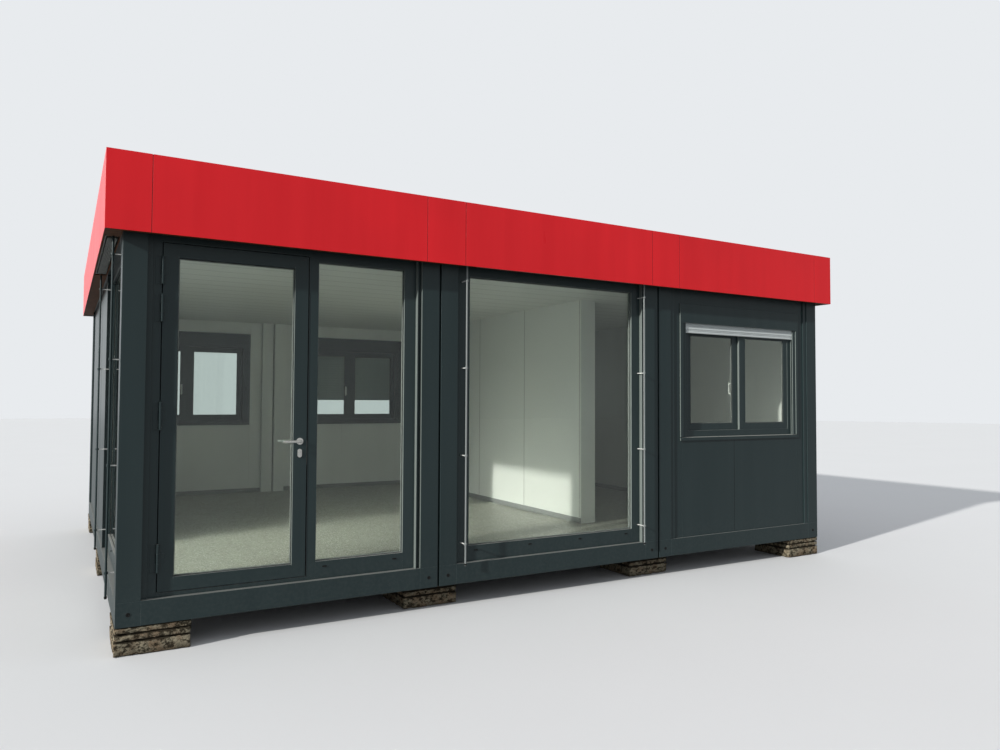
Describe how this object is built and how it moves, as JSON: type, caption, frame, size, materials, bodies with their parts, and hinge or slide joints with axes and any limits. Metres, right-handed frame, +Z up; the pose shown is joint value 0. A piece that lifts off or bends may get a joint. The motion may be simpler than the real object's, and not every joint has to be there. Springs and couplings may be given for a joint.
{
  "type": "shipping container cabin",
  "caption": "Pavilion of joined container modules with a glazed front, an outward opening glass door, shuttered windows and a tall fascia round its flat roof.",
  "frame": {"origin": "on the ground under the middle of the fascia's outline", "axes": "+X to the right along the front, +Y from the front to the back, +Z up"},
  "size_m": [7.585, 6.298, 3.48],
  "materials": {
    "anthracite_steel": "satin anthracite powder coat",
    "red_panel": "smooth satin red coat",
    "soffit_board": "dark brown film-faced board",
    "galvanised_steel": "zinc spangle, dull",
    "stainless": "satin stainless",
    "slab_concrete": "weathered rough concrete",
    "white_board": "smooth white sheet",
    "floor_vinyl": "speckled grey vinyl",
    "floor_underside": "dull primed sheet",
    "clear_glass": "clear double glass",
    "shutter_aluminium": "silver coated slats",
    "blind_aluminium": "dark coated slats"
  },
  "bodies": {
    "building": {"slab_stacks": "slab_concrete", "corner_blocks": "anthracite_steel", "floor_side_beams": "anthracite_steel", "floor_end_beams": "anthracite_steel", "floor_decks": "floor_underside", "floor_finish": "floor_vinyl", "corner_posts": "anthracite_steel", "roof_side_beams": "anthracite_steel", "roof_end_beams": "anthracite_steel", "roof_sheets": "galvanised_steel", "roof_joint_caps": "galvanised_steel", "ceiling_panels": "white_board", "joint_strips": "anthracite_steel", "fascia_front_panels": "red_panel", "fascia_back_panels": "red_panel", "fascia_side_panels": "red_panel", "fascia_filler_panels": "red_panel", "fascia_corner_panels": "red_panel", "fascia_rails": "galvanised_steel", "fascia_brackets": "galvanised_steel", "soffit_boards": "soffit_board", "door_frame": "anthracite_steel", "sidelight_glass": "clear_glass", "hinge_frame_parts": "anthracite_steel", "glazing_frames": "anthracite_steel", "glazing_glass": "clear_glass", "bay_covers": "anthracite_steel", "blind_rods": "stainless", "blind_brackets": "stainless", "blind_slats": "blind_aluminium", "front_wall_panels": "anthracite_steel", "back_wall_panels": "anthracite_steel", "left_wall_panels": "anthracite_steel", "right_wall_panels": "anthracite_steel", "wall_edge_strips": "anthracite_steel", "window_surrounds": "anthracite_steel", "window_frames": "anthracite_steel", "window_sashes": "anthracite_steel", "window_glass": "clear_glass", "shutter_slats": "shutter_aluminium", "partition_wall": "white_board"},
    "door": {"door_leaf": "anthracite_steel", "door_glass": "clear_glass", "door_lock_plates": "stainless", "hinge_leaf_parts": "anthracite_steel"},
    "lever": {"door_handle": "stainless"}
  },
  "joints": [
    {"name": "door_swing", "type": "hinge", "parent": "building", "child": "door", "pos_m": [-3.4105, -2.998, 1.4], "axis": [0, 0, -1], "range_deg": [0, 100]},
    {"name": "handle_turn", "type": "hinge", "parent": "door", "child": "lever", "pos_m": [-2.4085, -2.984, 1.452], "axis": [0, -1, 0], "range_deg": [0, 40], "stiffness_Nm_per_rad": 2, "springref_deg": -34.38}
  ]
}
